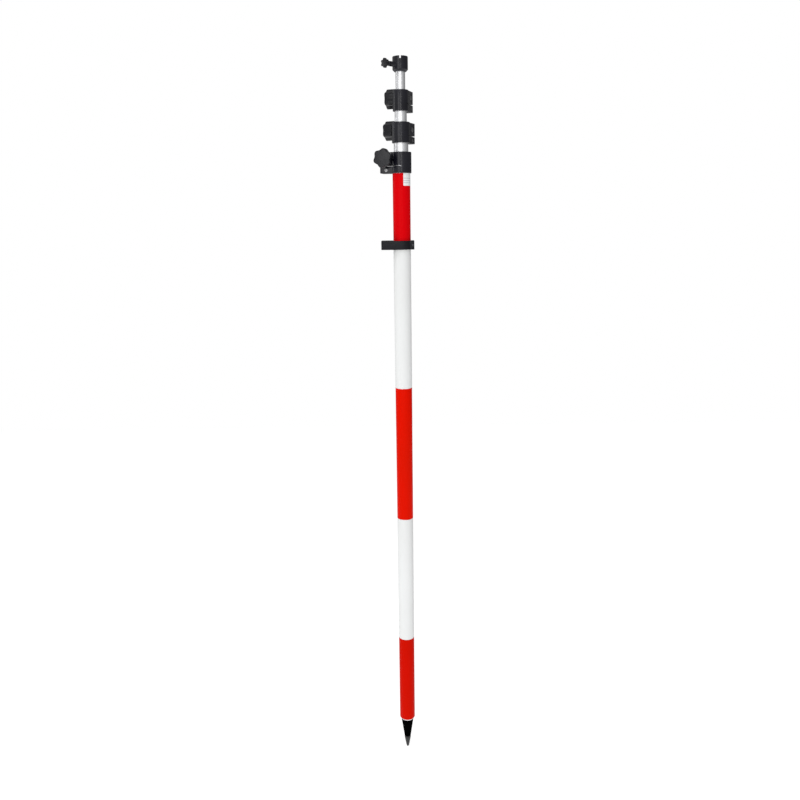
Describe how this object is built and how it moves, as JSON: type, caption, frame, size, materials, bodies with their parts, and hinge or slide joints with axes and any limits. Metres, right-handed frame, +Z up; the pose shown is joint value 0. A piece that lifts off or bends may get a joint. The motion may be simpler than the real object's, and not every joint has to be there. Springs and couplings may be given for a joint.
{
  "type": "telescopic prism pole",
  "caption": "Telescopic surveying pole with red and white bands, clamp knobs, a bull's-eye level bracket, a steel ground point and a top socket for a prism.",
  "frame": {"origin": "end of the steel point, on the pole's axis", "axes": "+Z up the pole, -Y the front with the lowest clamp's knob, +X the side of the level bracket's clamp screw"},
  "size_m": [0.0836, 0.0954, 1.5588],
  "materials": {
    "red_film": "glossy red shrink sleeve",
    "white_film": "glossy white shrink sleeve",
    "label_paper": "plain white label",
    "black_anodised": "satin black anodised",
    "black_plastic": "moulded, satin",
    "tube_aluminium": "clear anodised",
    "bare_steel": "turned, bright",
    "brass": "machined",
    "nylon": "moulded nylon",
    "level_fluid": "yellow-green spirit",
    "level_glass": "clear, domed"
  },
  "bodies": {
    "pole": {"outer_tube": "tube_aluminium", "red_foot_sleeve": "red_film", "lower_white_sleeve": "white_film", "middle_red_sleeve": "red_film", "upper_white_sleeve": "white_film", "top_red_sleeve": "red_film", "blank_label": "label_paper", "foot_plug": "tube_aluminium", "point_holder": "black_anodised", "steel_point": "bare_steel", "lock_1_collar": "black_anodised", "lock_1_clamp_bolt": "bare_steel", "lock_1_pinch_screw": "bare_steel", "lock_1_pinch_nut": "bare_steel"},
    "bush_2": {"guide_bush_2": "nylon"},
    "bush_3": {"guide_bush_3": "nylon"},
    "bush_4": {"guide_bush_4": "nylon"},
    "section_2": {"section_tube_2": "tube_aluminium", "lock_2_collar": "black_anodised", "lock_2_clamp_bolt": "bare_steel", "lock_2_pinch_screw": "bare_steel", "lock_2_pinch_nut": "bare_steel"},
    "section_3": {"section_tube_3": "tube_aluminium", "lock_3_collar": "black_anodised", "lock_3_clamp_bolt": "bare_steel", "lock_3_pinch_screw": "bare_steel", "lock_3_pinch_nut": "bare_steel"},
    "section_4": {"section_tube_4": "tube_aluminium", "top_socket": "black_anodised", "socket_pin": "bare_steel"},
    "washer_1": {"lock_1_thrust_washer": "bare_steel"},
    "knob_1": {"lock_1_knob": "black_plastic", "lock_1_knob_insert": "brass"},
    "washer_2": {"lock_2_thrust_washer": "bare_steel"},
    "knob_2": {"lock_2_knob": "black_plastic", "lock_2_knob_insert": "brass"},
    "washer_3": {"lock_3_thrust_washer": "bare_steel"},
    "knob_3": {"lock_3_knob": "black_plastic", "lock_3_knob_insert": "brass"},
    "thumb_pad": {"thumb_pad": "brass"},
    "thumb_screw": {"thumb_stem": "bare_steel", "thumb_knob": "black_plastic"},
    "liner": {"bracket_liner": "nylon"},
    "bracket": {"level_bracket": "black_plastic", "bracket_pinch_screw": "bare_steel", "bracket_pinch_nut": "bare_steel", "vial_cup": "brass", "vial_fluid": "level_fluid", "vial_glass": "level_glass", "level_screw_1": "bare_steel", "level_screw_2": "bare_steel", "level_screw_3": "bare_steel"}
  },
  "joints": [
    {"name": "section_2_slide", "type": "slide", "parent": "pole", "child": "bush_2", "axis": [0, 0, 1], "range_m": [0, 1.14]},
    {"name": "section_2_swivel", "type": "hinge", "parent": "bush_2", "child": "section_2", "pos_m": [0, 0, 1], "axis": [0, 0, 1], "continuous": true},
    {"name": "section_3_slide", "type": "slide", "parent": "section_2", "child": "bush_3", "axis": [0, 0, 1], "range_m": [0, 1.14]},
    {"name": "section_3_swivel", "type": "hinge", "parent": "bush_3", "child": "section_3", "pos_m": [0, 0, 1], "axis": [0, 0, 1], "continuous": true},
    {"name": "section_4_slide", "type": "slide", "parent": "section_3", "child": "bush_4", "axis": [0, 0, 1], "range_m": [0, 1.14]},
    {"name": "section_4_swivel", "type": "hinge", "parent": "bush_4", "child": "section_4", "pos_m": [0, 0, 1], "axis": [0, 0, 1], "continuous": true},
    {"name": "knob_1_advance", "type": "slide", "parent": "pole", "child": "washer_1", "axis": [-0.2588, -0.9659, 0], "range_m": [-0.00188, 0.00251]},
    {"name": "knob_1_turn", "type": "hinge", "parent": "washer_1", "child": "knob_1", "pos_m": [-0.02782, 0.00745, 1.36965], "axis": [-0.2588, -0.9659, 0], "range_deg": [-540, 720]},
    {"name": "knob_2_advance", "type": "slide", "parent": "section_2", "child": "washer_2", "axis": [-0.9135, 0.4067, 0], "range_m": [-0.00751, 0.00251]},
    {"name": "knob_2_turn", "type": "hinge", "parent": "washer_2", "child": "knob_2", "pos_m": [0.01159, 0.02604, 1.4267], "axis": [-0.9135, 0.4067, 0], "range_deg": [-2160, 720]},
    {"name": "knob_3_advance", "type": "slide", "parent": "section_3", "child": "washer_3", "axis": [-0.9397, 0.342, 0], "range_m": [0, 0.00251]},
    {"name": "knob_3_turn", "type": "hinge", "parent": "washer_3", "child": "knob_3", "pos_m": [0.00872, 0.02396, 1.48615], "axis": [-0.9397, 0.342, 0], "range_deg": [0, 720]},
    {"name": "thumb_advance", "type": "slide", "parent": "section_4", "child": "thumb_pad", "axis": [-0.7431, -0.6691, 0], "range_m": [-0.00151, 0.00301]},
    {"name": "thumb_turn", "type": "hinge", "parent": "thumb_pad", "child": "thumb_screw", "pos_m": [0, 0, 1.5434], "axis": [-0.7431, -0.6691, 0], "range_deg": [-540, 1080]},
    {"name": "bracket_slide", "type": "slide", "parent": "pole", "child": "liner", "axis": [0, 0, 1], "range_m": [-1.1, 0.13]},
    {"name": "bracket_swivel", "type": "hinge", "parent": "liner", "child": "bracket", "pos_m": [0, 0, 1.2], "axis": [0, 0, 1], "continuous": true}
  ],
  "couplings": [
    {"joint": "knob_1_advance", "follows": "knob_1_turn", "m_per_rad": 0.00019894},
    {"joint": "knob_2_advance", "follows": "knob_2_turn", "m_per_rad": 0.00019894},
    {"joint": "knob_3_advance", "follows": "knob_3_turn", "m_per_rad": 0.00019894},
    {"joint": "thumb_advance", "follows": "thumb_turn", "m_per_rad": 0.00015915}
  ]
}
